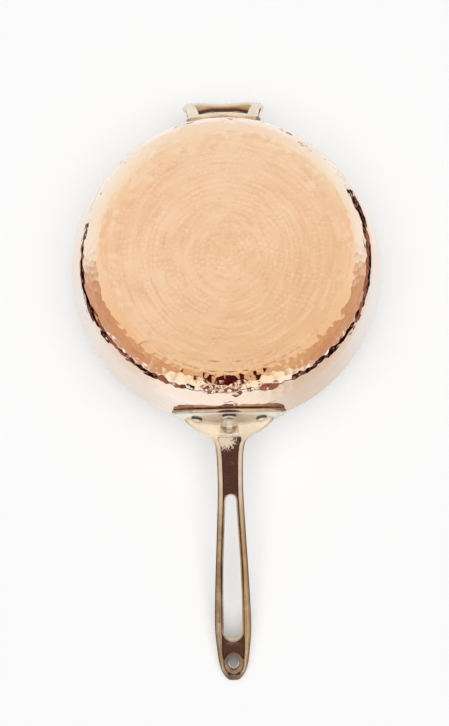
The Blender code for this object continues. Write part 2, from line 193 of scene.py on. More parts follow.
class HammerMarks:
    """Overlapping shallow dishes on rings round the pan: each point is as deep as its deepest dish."""

    def __init__(self):
        length = CORNER_END + PAN_HEIGHT / math.cos(WALL_FLARE)
        self.rows = int(length / MARK_PITCH) + 3
        shape = (self.rows, int(2 * math.pi * RIM_RADIUS / MARK_WIDTH) + 8)
        on_base = np.arange(self.rows) * MARK_PITCH < CORNER_CENTRE_R
        steady = np.where(on_base, BASE_JITTER_SHARE, 1.0)[:, None]
        stray = MARK_JITTER * MARK_PITCH * steady
        lean = np.where(on_base, MARK_TILT * BASE_TILT_SHARE, MARK_TILT)[:, None]
        self.along = rng.uniform(-1, 1, shape) * stray
        self.around = rng.uniform(-1, 1, shape) * stray
        self.tilt_along = rng.uniform(-1, 1, shape) * lean
        self.tilt_around = rng.uniform(-1, 1, shape) * lean
        self.deeper = rng.uniform(0, 1, shape) * MARK_DEPTH_SPREAD * steady
        self.phase = rng.uniform(0, 2 * math.pi, self.rows)

    def depth(self, s, angle):
        """Depth under the plain pan, nearness to a ridge, and slope towards +Y, at each point."""
        corner = (s > CORNER_CENTRE_R) & (s < CORNER_END)
        on_base = 1 - np.clip((s - CORNER_CENTRE_R + BASE_FADE) / BASE_FADE, 0, 1)
        on_wall = np.clip((s - CORNER_END + WALL_FADE / 3) / WALL_FADE, 0, 1)
        strength = 1 - (1 - BASE_MARK_SHARE) * on_base - (1 - WALL_MARK_SHARE) * on_wall
        radius = np.maximum(ring_radius(s), LEAST_RADIUS)
        curve_along = np.where(corner, 1 / CORNER_RADIUS, 0) + 1 / MARK_DISH_RADIUS
        curve_around = (1 - on_base) / np.maximum(radius, 0.02) + 1 / MARK_DISH_RADIUS
        middle = 0.5 * MARK_REACH ** 2 * (curve_along + curve_around)
        row = np.floor(s / MARK_PITCH).astype(int)
        best, second, slope = np.zeros_like(s), np.zeros_like(s), np.zeros_like(s)
        best_ring, second_ring = np.zeros_like(row), np.zeros_like(row)
        for step in (-1, 0, 1, 2):
            i = np.clip(row + step, 0, self.rows - 1)
            ring_r = np.maximum(ring_radius(i * MARK_PITCH), LEAST_RADIUS)
            count = np.maximum(np.round(2 * math.pi * ring_r / MARK_WIDTH), 3).astype(int)
            turn = ((angle + self.phase[i]) / (2 * math.pi) * count) % count
            nearest = np.floor(turn).astype(int)
            for side in (-1, 0, 1, 2):
                k = (nearest + side) % count
                u = s - i * MARK_PITCH - self.along[i, k]
                v = (turn - nearest - side) / count * 2 * math.pi * radius - self.around[i, k]
                bowl = 0.5 * (u * u * curve_along + v * v * curve_around)
                lean = self.tilt_along[i, k] * u + self.tilt_around[i, k] * v
                height = bowl + lean - middle - self.deeper[i, k]
                rise = ((u / MARK_DISH_RADIUS + self.tilt_along[i, k]) * np.sin(angle)
                        + (v / MARK_DISH_RADIUS + self.tilt_around[i, k]) * np.cos(angle))
                deepest = height < best
                next_ring = np.where(height < second, i, second_ring)
                second_ring = np.where(deepest, best_ring, next_ring)
                best_ring = np.where(deepest, i, best_ring)
                second = np.minimum(second, np.maximum(best, height))
                slope = np.where(deepest, rise, slope)
                best = np.minimum(best, height)
        ridge = np.exp(-(second - best) / RIDGE_WIDTH)
        ridge *= np.where(best_ring == second_ring, SPOKE_SHARE, 1.0)
        return best * strength, ridge, slope * 2 * MARK_DISH_RADIUS / MARK_PITCH


marks = HammerMarks()
SHELL_SEGMENTS = 1080
OUTER_STEP = 0.0007
PLAIN_RIM = 0.003                 # the marks end this far under the rim
RIM_FADE = 0.004                  # and fade over this height


def make_copper_shell(material):
    top = PAN_HEIGHT - RIM_ROUNDING
    outer = pan_profile(0.0, top, OUTER_STEP, OUTER_STEP * 0.8, OUTER_STEP)
    inner = pan_profile(COPPER_THICKNESS, top, 0.012, 0.004, 0.012)
    middle, half = (outer[-1][0] + inner[-1][0]) / 2, (outer[-1][0] - inner[-1][0]) / 2
    crest = [(middle + half * math.cos(a), PAN_HEIGHT - RIM_ROUNDING * (1 - math.sin(a)))
             for a in np.linspace(0, math.pi, 9)[1:-1]]
    profile = np.array(outer + crest + inner[::-1])
    outside = np.array(outer)
    s_rows = np.full(len(profile), -1.0)
    s_rows[:len(outer)] = np.concatenate([[0], np.cumsum(np.hypot(*np.diff(outside, axis=0).T))])
    normals = np.zeros((len(profile), 2))
    along = np.gradient(outside, axis=0)
    along /= np.linalg.norm(along, axis=1)[:, None]
    normals[:len(outer)] = np.stack([along[:, 1], -along[:, 0]], axis=1)

    # One value for each vertex: the rings in order, then the two on the axis.
    ridges = np.zeros((len(profile) - 2) * SHELL_SEGMENTS + 2)
    slopes = np.zeros_like(ridges)

    def hammered(r, z, a):
        s = np.repeat(s_rows[1:-1], SHELL_SEGMENTS)
        out = np.repeat(normals[1:-1], SHELL_SEGMENTS, axis=0)
        depth = np.zeros_like(s)
        struck = np.flatnonzero(s > 0)
        depth[struck], ridges[struck], slopes[struck] = marks.depth(s[struck], a[struck])
        depth *= np.clip((PAN_HEIGHT - PLAIN_RIM - z) / RIM_FADE, 0, 1)
        return np.stack([out[:, 0] * np.cos(a), out[:, 0] * np.sin(a), out[:, 1]], axis=1) * depth[:, None]

    verts, faces = revolved(profile, SHELL_SEGMENTS, hammered)
    obj = new_piece("copper_shell", verts, faces, material, "copper_body", sharp_angle=60)
    write_shade(obj.data, "ridge", ridges)
    # the slope towards +Y drives the painted highlight and painted shade on the base's hammer marks
    write_shade(obj.data, "slope", slopes)
    return obj


def make_tin_lining(material):
    depth = COPPER_THICKNESS + LINING_GAP
    top = PAN_HEIGHT - 2 * RIM_ROUNDING
    outer = pan_profile(depth, top, 0.03, 0.003, 0.02)
    inner = pan_profile(depth + LINING_THICKNESS, top, 0.004, 0.0012, 0.004)
    verts, faces = revolved(outer + inner[::-1], 256)
    return new_piece("tin_inside", verts, faces, material, "tin_lining")


# ---------------------------------------------------------------- cast handles

LIP_WIDTH = 0.0010                # raised edge round the slot, on the lower side
LIP_HEIGHT = 0.0009
LIP_SLOPE = 0.0006                # width over which it falls away
GROOVE_DISTANCE = 0.0019          # dark line beside the lip, from the slot's edge
SEAM_WIDTH = 0.0009               # painted shadow line in the gap where the flange meets the wall
HOLE_DISTANCE, HOLE_HALF_WIDTH, HOLE_HALF_LENGTH = 0.2176, 0.0050, 0.0070
RING_DISTANCE, RING_HALF_WIDTH, RING_HALF_LENGTH = 0.2188, 0.0088, 0.0103
CHANNEL_START, CHANNEL_END = 0.0135, 0.2345
HELPER_BAR_Y = 0.146              # the crossbar is past this
FILLET = 0.0030                   # in the inner corners of the helper's loop
LEG_WIDENING = 0.0018


def handle_coordinates(co):
    """Distance from the wall, and height over the centreline, of points of the long handle."""
    distance = -co[:, 1] - wall_radius(HANDLE_ROOT_HEIGHT)
    height = co[:, 2] - centre_height(distance)
    for _ in range(3):
        distance = (-co[:, 1] - wall_radius(HANDLE_ROOT_HEIGHT)
                    + height * math.sin(HANDLE_PITCH))
        height = (co[:, 2] - centre_height(distance)) / math.cos(HANDLE_PITCH)
    return distance, height


def centre_height(distance):
    run = HANDLE_LEVEL_RUN
    return HANDLE_ROOT_HEIGHT + math.tan(HANDLE_PITCH) * (distance - run * (1 - np.exp(-distance / run)))


def slot_edge_distance(x, distance):
    """How far points are from the edge of the long slot, in the handle's plane."""
    half = np.interp(distance, *SLOT_HALF_WIDTHS)
    start_r, end_r = SLOT_HALF_WIDTHS[1][0], SLOT_HALF_WIDTHS[1][-1]
    side = np.abs(x) - half
    from_start = np.hypot(x, distance - (SLOT_START + start_r)) - start_r
    from_end = np.hypot(x, distance - (SLOT_END - end_r)) - end_r
    edge = np.where(distance < SLOT_START + start_r, from_start, side)
    return np.where(distance > SLOT_END - end_r, from_end, edge)


def recast(node, name, material, voxel, smoothing):
    """Copy of a CAD casting with its edges softened, as a mould leaves them."""
    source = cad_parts[node]
    bm = bmesh.new()
    bm.from_mesh(source.data)
    bmesh.ops.remove_doubles(bm, verts=bm.verts, dist=1e-6)
    mesh = bpy.data.meshes.new(name)
    bm.to_mesh(mesh)
    bm.free()
    obj = bpy.data.objects.new(name, mesh)
    bpy.context.scene.collection.objects.link(obj)
    remesh = obj.modifiers.new("remesh", "REMESH")
    remesh.mode = "VOXEL"
    remesh.voxel_size = voxel
    smooth = obj.modifiers.new("smooth", "SMOOTH")
    smooth.factor = 0.5
    smooth.iterations = smoothing
    depsgraph = bpy.context.evaluated_depsgraph_get()
    done = bpy.data.meshes.new_from_object(obj.evaluated_get(depsgraph))
    obj.modifiers.clear()
    obj.data = done
    bpy.data.meshes.remove(mesh)
    done.materials.clear()
    done.materials.append(material)
    done.shade_smooth()
    settle(obj, node)
    return obj


def read_points(mesh):
    co = np.zeros(len(mesh.vertices) * 3)
    mesh.vertices.foreach_get("co", co)
    normal = np.zeros(len(mesh.vertices) * 3)
    mesh.vertex_normals.foreach_get("vector", normal)
    return co.reshape(-1, 3), normal.reshape(-1, 3)


def write_shade(mesh, name, values):
    attribute = mesh.attributes.new(name, "FLOAT", "POINT")
    attribute.data.foreach_set("value", values.astype(np.float32))


def smoothstep(low, high, x):
    t = np.clip((x - low) / (high - low), 0, 1)
    return t * t * (3 - 2 * t)


def make_long_handle(material):
    obj = recast("long_handle", "cast_long_handle", material, 0.0005, 3)
    mesh = obj.data
    co, normal = read_points(mesh)
    distance, height = handle_coordinates(co)
    down = -normal[:, 2]
    edge = slot_edge_distance(co[:, 0], distance)
    inset = height + np.interp(distance, *HANDLE_HALF_HEIGHTS)
    in_channel = ((distance > CHANNEL_START) & (distance < CHANNEL_END) & (down > 0.5)
                  & (inset > 0.0016) & (height < 0))
    lip = 1 - smoothstep(LIP_WIDTH, LIP_WIDTH + LIP_SLOPE, edge)
    co[:, 2] -= np.where(in_channel, lip * LIP_HEIGHT, 0)
    mesh.vertices.foreach_set("co", co.ravel())

    patina_and_painted_shade = smoothstep(0.0006, 0.0018, inset) * (down > 0.15) * (height < 0)
    patina_and_painted_shade *= smoothstep(0.0130, 0.0150, distance) * (1 - lip)
    groove = np.exp(-((edge - GROOVE_DISTANCE) / 0.0005) ** 2) * (down > 0.5)
    outline = hole_outline(co[:, 0], distance) * (down > 0.3)
    under, seam_shadow, knuckle = flange_shades(co, distance, down)
    tip = smoothstep(0.222, 0.233, distance)
    # dark patina in the channel, with painted shadow where the flange meets the wall and painted shade at
    # the middle of its lower edge
    dark = [patina_and_painted_shade, 0.75 * groove, 0.8 * outline, seam_shadow, 0.65 * tip]
    write_shade(mesh, "patina_and_painted_shade", np.maximum.reduce(dark))

    rub = smoothstep(0.0135, 0.0145, distance) * (1 - smoothstep(0.018, 0.037, distance))
    rub *= 0.5 + 0.5 * smoothstep(-0.010, 0.003, co[:, 0])
    write_shade(mesh, "rub", rub * (patina_and_painted_shade > 0))
    worn = smoothstep(0.050, 0.105, distance) * (0.75 + 0.25 * np.clip(down, 0, 1))
    write_shade(mesh, "tarnish", np.maximum.reduce([worn, 0.5 * under, 0.65 * knuckle]))
    mesh.update()
    return obj


def hole_outline(x, distance):
    """Dark outlines of the hanging hole and of the raised ring round it."""
    hole = np.hypot(x / HOLE_HALF_WIDTH, (distance - HOLE_DISTANCE) / HOLE_HALF_LENGTH)
    ring = np.hypot(x / RING_HALF_WIDTH, (distance - RING_DISTANCE) / RING_HALF_LENGTH)
    outline = np.exp(-((ring - 1.0) / 0.09) ** 2) + np.exp(-((hole - 1.05) / 0.10) ** 2)
    return outline * (distance > 0.200)


def flange_shades(co, distance, down):
    """The flange's lower edge; the painted shadow along that edge where it meets the wall, painted shade
    in a curved patch at its middle and its darker ends; and the knuckle under the neck.
    """
    from_wall = (np.hypot(co[:, 0], co[:, 1]) - wall_radius(co[:, 2])) * math.cos(WALL_FLARE)
    aside = np.abs(co[:, 0])
    under = smoothstep(0.35, 0.65, down) * (distance < 0.012)
    under *= 1 - smoothstep(0.0036, 0.0042, from_wall)
    # painted shadow in the gap where the flange meets the wall
    seam_shadow = under * (1 - smoothstep(SEAM_WIDTH, SEAM_WIDTH + 0.0004, from_wall))
    # painted shade in a curved patch at the middle of the flange's lower edge, under the centre rivet
    painted_arch_shade = under * (1 - smoothstep(0.7, 1.0, np.hypot(aside / 0.012, (from_wall - 0.0040) / 0.0028)))
    ends = under * smoothstep(0.030, 0.033, aside) * (from_wall < 0.0030)
    knuckle = (aside < 0.0085) & (distance > 0.0035) & (distance < 0.0100) & (from_wall > 0.0066)
    return under, np.maximum.reduce([seam_shadow, painted_arch_shade, 0.4 * ends]), knuckle


def make_helper_handle(material):
    obj = recast("helper_handle", "cast_helper_handle", material, 0.0005, 3)
    co, normal = read_points(obj.data)
    aside = np.abs(co[:, 0])
    inward = -normal[:, 1]
    bar = smoothstep(HELPER_BAR_Y, HELPER_BAR_Y + 0.002, co[:, 1]) * (aside < 0.030)
    # painted dark reflection of the pan on the crossbar's inner face, which faces the pan
    write_shade(obj.data, "patina_and_painted_shade", smoothstep(0.15, 0.65, inward) * bar)
    write_shade(obj.data, "tarnish", smoothstep(-0.45, 0.1, inward) * bar)
    co[:, 1] -= FILLET * smoothstep(0.0, 0.5, inward) * bar * smoothstep(0.008, 0.026, aside)
    side = np.sign(co[:, 0])
    outward = np.clip(side * normal[:, 0], 0, 1)
    co[:, 0] += side * LEG_WIDENING * smoothstep(0.022, 0.028, aside) * outward
    obj.data.vertices.foreach_set("co", co.ravel())
    obj.data.update()
    return obj


# ---------------------------------------------------------------- rivets

HEAD_HEIGHT = 0.0022
SHANK_RADIUS = 0.0025
FLUSH_HEAD_SHARE = 0.35           # the helper's outer heads are hammered nearly flush


def make_rivet(node, material):
    """Rivet with two domed heads, placed by its CAD node."""
    co = np.array([v.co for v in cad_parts[node].data.vertices])
    centre = (co.min(0) + co.max(0)) / 2
    angle = math.atan2(centre[1], centre[0])
    level = math.cos(WALL_FLARE)
    normal = np.array([math.cos(angle) * level, math.sin(angle) * level, -math.sin(WALL_FLARE)])
    along = (co - centre) @ normal
    across = np.linalg.norm((co - centre) - along[:, None] * normal, axis=1)
    low, high = along.min(), along.max()
    outer_r = across[along > 0.5 * high].max()
    inner_r = across[along < 0.5 * low].max()
    dome = HEAD_HEIGHT * (FLUSH_HEAD_SHARE if node.startswith("helper") else 1)
    steps = np.linspace(0, math.pi / 2, 9)
    profile = [(inner_r * math.sin(t), low + HEAD_HEIGHT * (1 - math.cos(t))) for t in steps]
    profile += [(SHANK_RADIUS, low + HEAD_HEIGHT), (SHANK_RADIUS, high - HEAD_HEIGHT)]
    profile += [(outer_r * math.cos(t), high - HEAD_HEIGHT + dome * math.sin(t)) for t in steps]
    verts, faces = revolved(profile, 40)
    turn = Vector(normal).to_track_quat("Z", "Y").to_matrix()
    verts = verts @ np.array(turn).T + centre
    obj = new_piece("head_" + node, verts, faces, material, node, sharp_angle=50)
    spread = np.array([v.co for v in obj.data.vertices]) - centre
    radial = np.linalg.norm(spread - (spread @ normal)[:, None] * normal, axis=1)
    lower_side = smoothstep(0.35, 0.75, -spread[:, 2] / outer_r)
    # painted shade on the outer ring of each head's lower side
    write_shade(obj.data, "patina_and_painted_shade", smoothstep(0.80, 0.95, radial / outer_r) * lower_side)
    return obj


# ---------------------------------------------------------------- materials

class Nodes:
    """Short names for building one material's or world's node tree."""

    def __init__(self, owner):
        owner.use_nodes = True
        self.tree = owner.node_tree
        self.tree.nodes.clear()

    def add(self, kind, **values):
        node = self.tree.nodes.new(kind)
        for name, value in values.items():
            setattr(node, name, value)
        return node

    def link(self, a, b):
        self.tree.links.new(a, b)

    def feed(self, socket, value):
        if isinstance(value, bpy.types.NodeSocket):
            self.link(value, socket)
        elif isinstance(value, tuple) and len(value) == 3 and socket.type == "RGBA":
            socket.default_value = (*value, 1)
        else:
            socket.default_value = value

    def math(self, operation, a, b=0.0, c=0.0):
        node = self.add("ShaderNodeMath", operation=operation)
        for socket, value in zip(node.inputs, (a, b, c)):
            self.feed(socket, value)
        return node.outputs[0]

    def step(self, low, high, value, to_low=0.0, to_high=1.0):
        node = self.add("ShaderNodeMapRange", interpolation_type="SMOOTHSTEP")
        for name, v in (("Value", value), ("From Min", low), ("From Max", high),
                        ("To Min", to_low), ("To Max", to_high)):
            self.feed(node.inputs[name], v)
        return node.outputs[0]

    def mix(self, factor, a, b):
        node = self.add("ShaderNodeMix", data_type="RGBA")
        self.feed(node.inputs[0], factor)
        self.feed(node.inputs[6], a)
        self.feed(node.inputs[7], b)
        return node.outputs[2]

    def noise(self, vector, scale, detail=3.0, roughness=0.5):
        node = self.add("ShaderNodeTexNoise")
        self.link(vector, node.inputs["Vector"])
        node.inputs["Scale"].default_value = scale
        node.inputs["Detail"].default_value = detail
        node.inputs["Roughness"].default_value = roughness
        return node.outputs[0]

    def combine(self, x, y, z):
        node = self.add("ShaderNodeCombineXYZ")
        for socket, value in zip(node.inputs, (x, y, z)):
            self.feed(socket, value)
        return node.outputs[0]

    def separate(self, vector):
        node = self.add("ShaderNodeSeparateXYZ")
        self.link(vector, node.inputs[0])
        return node.outputs

    def bump(self, height, distance, strength=1.0):
        node = self.add("ShaderNodeBump")
        self.feed(node.inputs["Height"], height)
        node.inputs["Distance"].default_value = distance
        node.inputs["Strength"].default_value = strength
        return node.outputs[0]

    def principled(self, **values):
        shader = self.add("ShaderNodeBsdfPrincipled")
        for name, value in values.items():
            self.feed(shader.inputs[name.replace("_", " ")], value)
        output = self.add("ShaderNodeOutputMaterial")
        self.link(shader.outputs[0], output.inputs[0])


ARC_CUTS = 2.6                    # more cuts make the arcs shorter
ARC_RINGS = 260                   # more rings make them thinner
BRASS_METALLIC = 0.70             # the rest is the dull skin that brass grows

# Bright, worn and dark tones of each casting alloy; the dark tone paints patina in the hollows and painted
# shade.
CAST_BRASS = ((0.97, 0.82, 0.65), (0.46, 0.30, 0.165), (0.070, 0.027, 0.016))
HELPER_BRASS = ((0.91, 0.74, 0.58), (0.66, 0.44, 0.26), (0.10, 0.04, 0.022))
RIVET_METAL = ((0.83, 0.67, 0.51), (0.50, 0.34, 0.20), (0.06, 0.03, 0.02))
GOLDEN = (0.51, 0.32, 0.145)


def ring_arcs(n, x, y):
    """Noise drawn out into short arcs round the pan's axis."""
    radius = n.math("SQRT", n.math("ADD", n.math("MULTIPLY", x, x), n.math("MULTIPLY", y, y)))
    radius = n.math("MAXIMUM", radius, 0.004)
    east = n.math("MULTIPLY", n.math("DIVIDE", x, radius), ARC_CUTS)
    north = n.math("MULTIPLY", n.math("DIVIDE", y, radius), ARC_CUTS)
    return n.noise(n.combine(east, north, n.math("MULTIPLY", radius, ARC_RINGS)), 1.0, 3, 0.55)


def base_tone(n, place, blotch):
    """Copper of the base: warmer at one side, with arcs, dark lines along the ridges between hammer marks,
    and a painted highlight and painted shade on each mark by its slope towards +Y, in noise patches.
    """
    x, y, z = n.separate(place)
    ridge = n.add("ShaderNodeAttribute", attribute_name="ridge").outputs["Fac"]
    slope = n.add("ShaderNodeAttribute", attribute_name="slope").outputs["Fac"]
    warm_side = n.math("MULTIPLY", n.math("ADD", x, y), -1.0)
    tone = n.mix(n.step(0.34, 0.66, blotch), (0.90, 0.585, 0.375), (0.94, 0.655, 0.445))
    tone = n.mix(n.step(-0.02, 0.15, warm_side, 0.0, 0.8), tone, (0.87, 0.53, 0.315))
    tone = n.mix(n.step(0.02, 0.11, y, 0.0, 0.6), tone, (0.93, 0.68, 0.49))
    arcs = ring_arcs(n, x, y)
    tone = n.mix(n.step(0.52, 0.66, arcs, 0.0, 0.40), tone, (0.97, 0.73, 0.53))
    tone = n.mix(n.step(0.46, 0.34, arcs, 0.0, 0.38), tone, (0.80, 0.47, 0.275))
    painted_relief_patches = n.step(0.38, 0.62, n.noise(place, 60, 3), 0.10, 1.0)
    # painted highlight on the side of each hammer mark that slopes towards +Y, painted shade on the other
    # side, shown in noise patches
    lit = n.math("MULTIPLY", n.step(0.1, 1.0, slope), n.math("MULTIPLY", painted_relief_patches, 0.34))
    dim = n.math("MULTIPLY", n.step(-0.1, -1.0, slope), n.math("MULTIPLY", painted_relief_patches, 0.22))
    line = n.math("MULTIPLY", ridge, n.math("MULTIPLY", painted_relief_patches, 0.42))
    tone = n.mix(lit, tone, (0.99, 0.80, 0.64))
    tone = n.mix(dim, tone, (0.76, 0.42, 0.24))
    return n.mix(line, tone, (0.70, 0.385, 0.225))


def wall_tone(n, place, blotch):
    """Copper of the corner and wall: it starts like the base's edge and turns pinker."""
    x, y, z = n.separate(place)
    tone = n.mix(n.step(0.35, 0.65, blotch), (0.90, 0.62, 0.47), (0.93, 0.66, 0.51))
    edge_tone = n.mix(n.step(0.01, -0.07, y), (0.92, 0.625, 0.43), (0.87, 0.545, 0.325))
    return n.mix(n.step(0.002, 0.008, z), edge_tone, tone)


def copper_material():
    """Satin on the base, a mirror on the corner and wall."""
    material = bpy.data.materials.new("hammered_copper")
    n = Nodes(material)
    place = n.add("ShaderNodeTexCoord").outputs["Object"]
    x, y, z = n.separate(place)
    satin_height = n.step(-0.04, 0.04, y, 0.0002, 0.0026)
    on_base = n.step(0.0, 0.0004, n.math("SUBTRACT", z, satin_height), 1.0, 0.0)
    blotch = n.noise(place, 22, 5, 0.6)
    fine = n.noise(place, 260, 3)
    colour = n.mix(on_base, wall_tone(n, place, blotch), base_tone(n, place, blotch))
    rough_base = n.math("ADD", 0.25, n.math("MULTIPLY", fine, 0.08))
    rough_wall = n.math("ADD", 0.03, n.math("MULTIPLY", fine, 0.04))
    rough = n.math("ADD", n.math("MULTIPLY", rough_base, on_base),
                   n.math("MULTIPLY", rough_wall, n.math("SUBTRACT", 1.0, on_base)))
    grain = n.bump(fine, 0.00002, 0.5)
    n.principled(Base_Color=colour, Metallic=1.0, Roughness=rough, Normal=grain)
    return material


def tin_material():
    material = bpy.data.materials.new("wiped_tin")
    n = Nodes(material)
    place = n.add("ShaderNodeTexCoord").outputs["Object"]
    wipe = n.noise(place, 24, 5)
    fine = n.noise(place, 420, 2)
    colour = n.mix(n.step(0.3, 0.7, wipe), (0.74, 0.67, 0.60), (0.86, 0.79, 0.72))
    rough = n.math("ADD", 0.26, n.math("MULTIPLY", wipe, 0.22))
    bump = n.bump(n.math("ADD", n.math("MULTIPLY", wipe, 4.0), fine), 0.00004)
    n.principled(Base_Color=colour, Metallic=1.0, Roughness=rough, Normal=bump)
    return material


def brass_material(name, bright, worn, dark):
    """Brass: bright where it is worn bare, tarnished towards the grip, dark with patina in its hollows and
    with painted shade where the flange meets the wall, under the rivet heads and on the helper's inner
    face.
    """
    material = bpy.data.materials.new(name)
    n = Nodes(material)
    place = n.add("ShaderNodeTexCoord").outputs["Object"]
    patina_and_painted_shade = n.add("ShaderNodeAttribute", attribute_name="patina_and_painted_shade").outputs["Fac"]
    rub = n.add("ShaderNodeAttribute", attribute_name="rub").outputs["Fac"]
    tarnish = n.add("ShaderNodeAttribute", attribute_name="tarnish").outputs["Fac"]
    patch = n.noise(place, 70, 5, 0.6)
    pits = n.noise(place, 900, 3)
    flakes = n.noise(place, 750, 5, 0.7)

    dull = n.math("MULTIPLY", tarnish, n.step(0.30, 0.60, patch, 0.80, 1.0))
    golden_side = n.step(0.002, 0.009, n.math("MULTIPLY", n.separate(place)[0], -1.0))
    worn_tone = n.mix(n.step(0.35, 0.65, patch), worn, tuple(0.72 * c for c in worn))
    worn_tone = n.mix(golden_side, worn_tone, GOLDEN)
    tone = n.mix(n.step(0.3, 0.7, patch), bright, tuple(0.85 * c for c in bright))
    tone = n.mix(dull, tone, worn_tone)

    bare = n.step(0.90, 0.98, n.math("ADD", n.math("MULTIPLY", rub, 0.60), flakes))
    # darkens to the dark tone: patina in the hollows, painted shade where the flange meets the wall, under
    # the rivet heads and on the helper's inner face
    patina_and_shade_mask = n.math("MULTIPLY", patina_and_painted_shade, n.step(0.25, 0.45, patch, 0.75, 1.0))
    patina_and_shade_mask = n.math("MULTIPLY", patina_and_shade_mask, n.math("SUBTRACT", 1.0, n.math("MULTIPLY", bare, 0.9)))
    patina_and_shade_tone = n.mix(n.step(0.3, 0.7, pits), dark, tuple(1.7 * c for c in dark))
    colour = n.mix(patina_and_shade_mask, tone, patina_and_shade_tone)
    rough = n.step(0.0, 1.0, patina_and_painted_shade, 0.20, 0.42)
    bump = n.bump(n.math("ADD", pits, n.math("MULTIPLY", patch, 2.0)), 0.00006)
    n.principled(Base_Color=colour, Metallic=BRASS_METALLIC, Roughness=rough, Normal=bump)
    return material


# ---------------------------------------------------------------- stage, world, lights

BACKDROP_HEIGHT = cad_high.z + 0.0012
FLOOR_HEIGHT = cad_low.z - 0.0004
STAGE_HALF = 40.0
BACKDROP_GLOW = 0.28              # share of the backdrop's brightness that shadows don't touch
AMBIENT = 0.22                    # brightness of the world as a light
SHEET_WHITE = (0.955, 0.957, 0.955)


def one_sided(name, z, facing_up, tone, shaded=False):
    """Sheet that only shows its face: seen from the other side, it isn't there."""
    h = STAGE_HALF
    corners = [(-h, -h, z), (h, -h, z), (h, h, z), (-h, h, z)]
    mesh = bpy.data.meshes.new(name)
    mesh.from_pydata(corners, [], [(0, 1, 2, 3) if facing_up else (3, 2, 1, 0)])
    obj = bpy.data.objects.new(name, mesh)
    bpy.context.scene.collection.objects.link(obj)
    material = bpy.data.materials.new(name)
    n = Nodes(material)
    back = n.add("ShaderNodeNewGeometry").outputs["Backfacing"]
    paper = n.add("ShaderNodeBsdfDiffuse")
    glow = n.add("ShaderNodeEmission")
    colour = contact_shadow(n, tone) if shaded else (tone, tone, tone)
    n.feed(paper.inputs["Color"], colour)
    n.feed(glow.inputs["Color"], colour)
    lit = n.add("ShaderNodeMixShader")
    lit.inputs[0].default_value = BACKDROP_GLOW if shaded else 0.0
    n.link(paper.outputs[0], lit.inputs[1])
    n.link(glow.outputs[0], lit.inputs[2])
    clear = n.add("ShaderNodeBsdfTransparent")
    pick = n.add("ShaderNodeMixShader")
    n.link(back, pick.inputs[0])
    n.link(lit.outputs[0], pick.inputs[1])
    n.link(clear.outputs[0], pick.inputs[2])
    output = n.add("ShaderNodeOutputMaterial")
    n.link(pick.outputs[0], output.inputs[0])
    mesh.materials.append(material)
    obj.visible_shadow = False
    obj.visible_glossy = False
    obj.visible_diffuse = False


def contact_shadow(n, tone):
    """The sheet's colour: dim behind the outer end of the slot and behind the hanging hole."""
    x, y, z = n.separate(n.add("ShaderNodeTexCoord").outputs["Object"])
    out = n.math("SUBTRACT", n.math("MULTIPLY", y, -1.0), wall_radius(HANDLE_ROOT_HEIGHT))
    aside = n.math("ABSOLUTE", x)
    narrow = n.step(0.0100, 0.0130, aside, 1.0, 0.0)
    along = n.step(0.165, SLOT_END + 0.002, out)
    hole = n.step(HOLE_DISTANCE - 0.013, HOLE_DISTANCE - 0.009, out)
    fade = n.step(HOLE_DISTANCE - 0.004, HOLE_DISTANCE + 0.012, out, 1.0, 0.25)
    hole = n.math("MULTIPLY", hole, fade)
    outer = n.step(HOLE_DISTANCE + 0.008, HOLE_DISTANCE + 0.012, out, 1.0, 0.0)
    dim = n.math("ADD", n.math("MULTIPLY", along, 0.36), n.math("MULTIPLY", hole, 0.46))
    dim = n.math("MULTIPLY", n.math("MULTIPLY", dim, narrow), outer)
    return n.mix(dim, (tone, tone, tone), (0.02, 0.02, 0.018))


def make_world():
    """White for the camera; for reflections, a bright room with a dark edge that dips in front."""
    world = bpy.data.worlds.new("studio")
    bpy.context.scene.world = world
    n = Nodes(world)
    direction = n.add("ShaderNodeTexCoord").outputs["Generated"]
    paths = n.add("ShaderNodeLightPath")
    room = Room(n, direction).colour()
    for_glossy = n.mix(paths.outputs["Is Glossy Ray"], (AMBIENT, AMBIENT, AMBIENT), room)
    colour = n.mix(paths.outputs["Is Camera Ray"], for_glossy, SHEET_WHITE)
    background = n.add("ShaderNodeBackground")
    n.link(colour, background.inputs[0])
    output = n.add("ShaderNodeOutputWorld")
    n.link(background.outputs[0], output.inputs[0])


